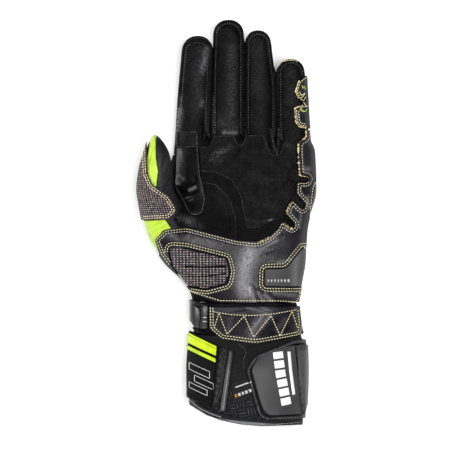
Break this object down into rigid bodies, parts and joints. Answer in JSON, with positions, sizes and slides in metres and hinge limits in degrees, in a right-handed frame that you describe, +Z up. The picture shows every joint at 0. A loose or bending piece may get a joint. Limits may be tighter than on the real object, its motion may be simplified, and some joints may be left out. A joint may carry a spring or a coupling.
{
  "type": "motorcycle glove",
  "caption": "Left-hand gauntlet race glove in black leather with woven sliders, contrast stitching, wrist strap and cuff closure, lying palm up.",
  "frame": {"origin": "middle of the outline, on the surface that the glove lies on", "axes": "+Y to the fingertips, +Z up out of the palm, +X to the little finger's side"},
  "size_m": [0.1368, 0.3092, 0.0652],
  "materials": {
    "glove_leather": "matte black goatskin with a fine grain",
    "heel_leather": "semi-gloss black cowhide with a purple cast",
    "palm_suede": "black suede, perforated in rows",
    "woven_guard": "coarse woven fabric, purple brown with pale flecks",
    "neon_leather": "smooth fluorescent yellow-green leather",
    "grey_rubber": "smooth moulded rubber, dark grey",
    "black_rubber": "satin moulded rubber, black",
    "cuff_fabric": "black coated cloth, embossed",
    "lining_cloth": "grey knitted lining",
    "grey_roll": "smooth grey piping"
  },
  "bodies": {
    "root": {"index_front": "glove_leather", "index_back": "glove_leather", "index_sidewall": "glove_leather", "middle_front": "glove_leather", "middle_back": "glove_leather", "middle_sidewall": "glove_leather", "ring_front": "glove_leather", "ring_back": "glove_leather", "ring_sidewall": "glove_leather", "little_front": "glove_leather", "little_back": "glove_leather", "little_sidewall": "glove_leather", "palm_leather": "glove_leather", "heel_leather": "glove_leather", "back_leather": "glove_leather", "thumb_leather": "glove_leather", "thumb_back": "glove_leather", "thumb_insert": "neon_leather", "thumb_gusset": "neon_leather", "thumb_guard": "woven_guard", "palm_overlay": "palm_suede", "thenar_overlay": "glove_leather", "web_patch": "glove_leather", "web_band": "palm_suede", "heel_panel": "heel_leather", "heel_pad": "woven_guard", "heel_patch": "grey_rubber", "edge_slider": "black_rubber", "little_panel": "heel_leather", "wrist_sleeve": "glove_leather", "wrist_strap": "heel_leather", "wrist_tab": "black_rubber", "cuff_front": "cuff_fabric", "cuff_back": "cuff_fabric", "cuff_lining": "lining_cloth", "hem_binding": "cuff_fabric", "inner_flap": "cuff_fabric", "tape_wide": "neon_leather", "tape_narrow": "neon_leather", "stretch_band": "cuff_fabric", "flap_roll": "grey_roll", "cuff_label": "cuff_fabric", "closure_flap": "cuff_fabric", "closure_patch": "grey_rubber", "closure_fold": "grey_rubber"}
  },
  "joints": []
}
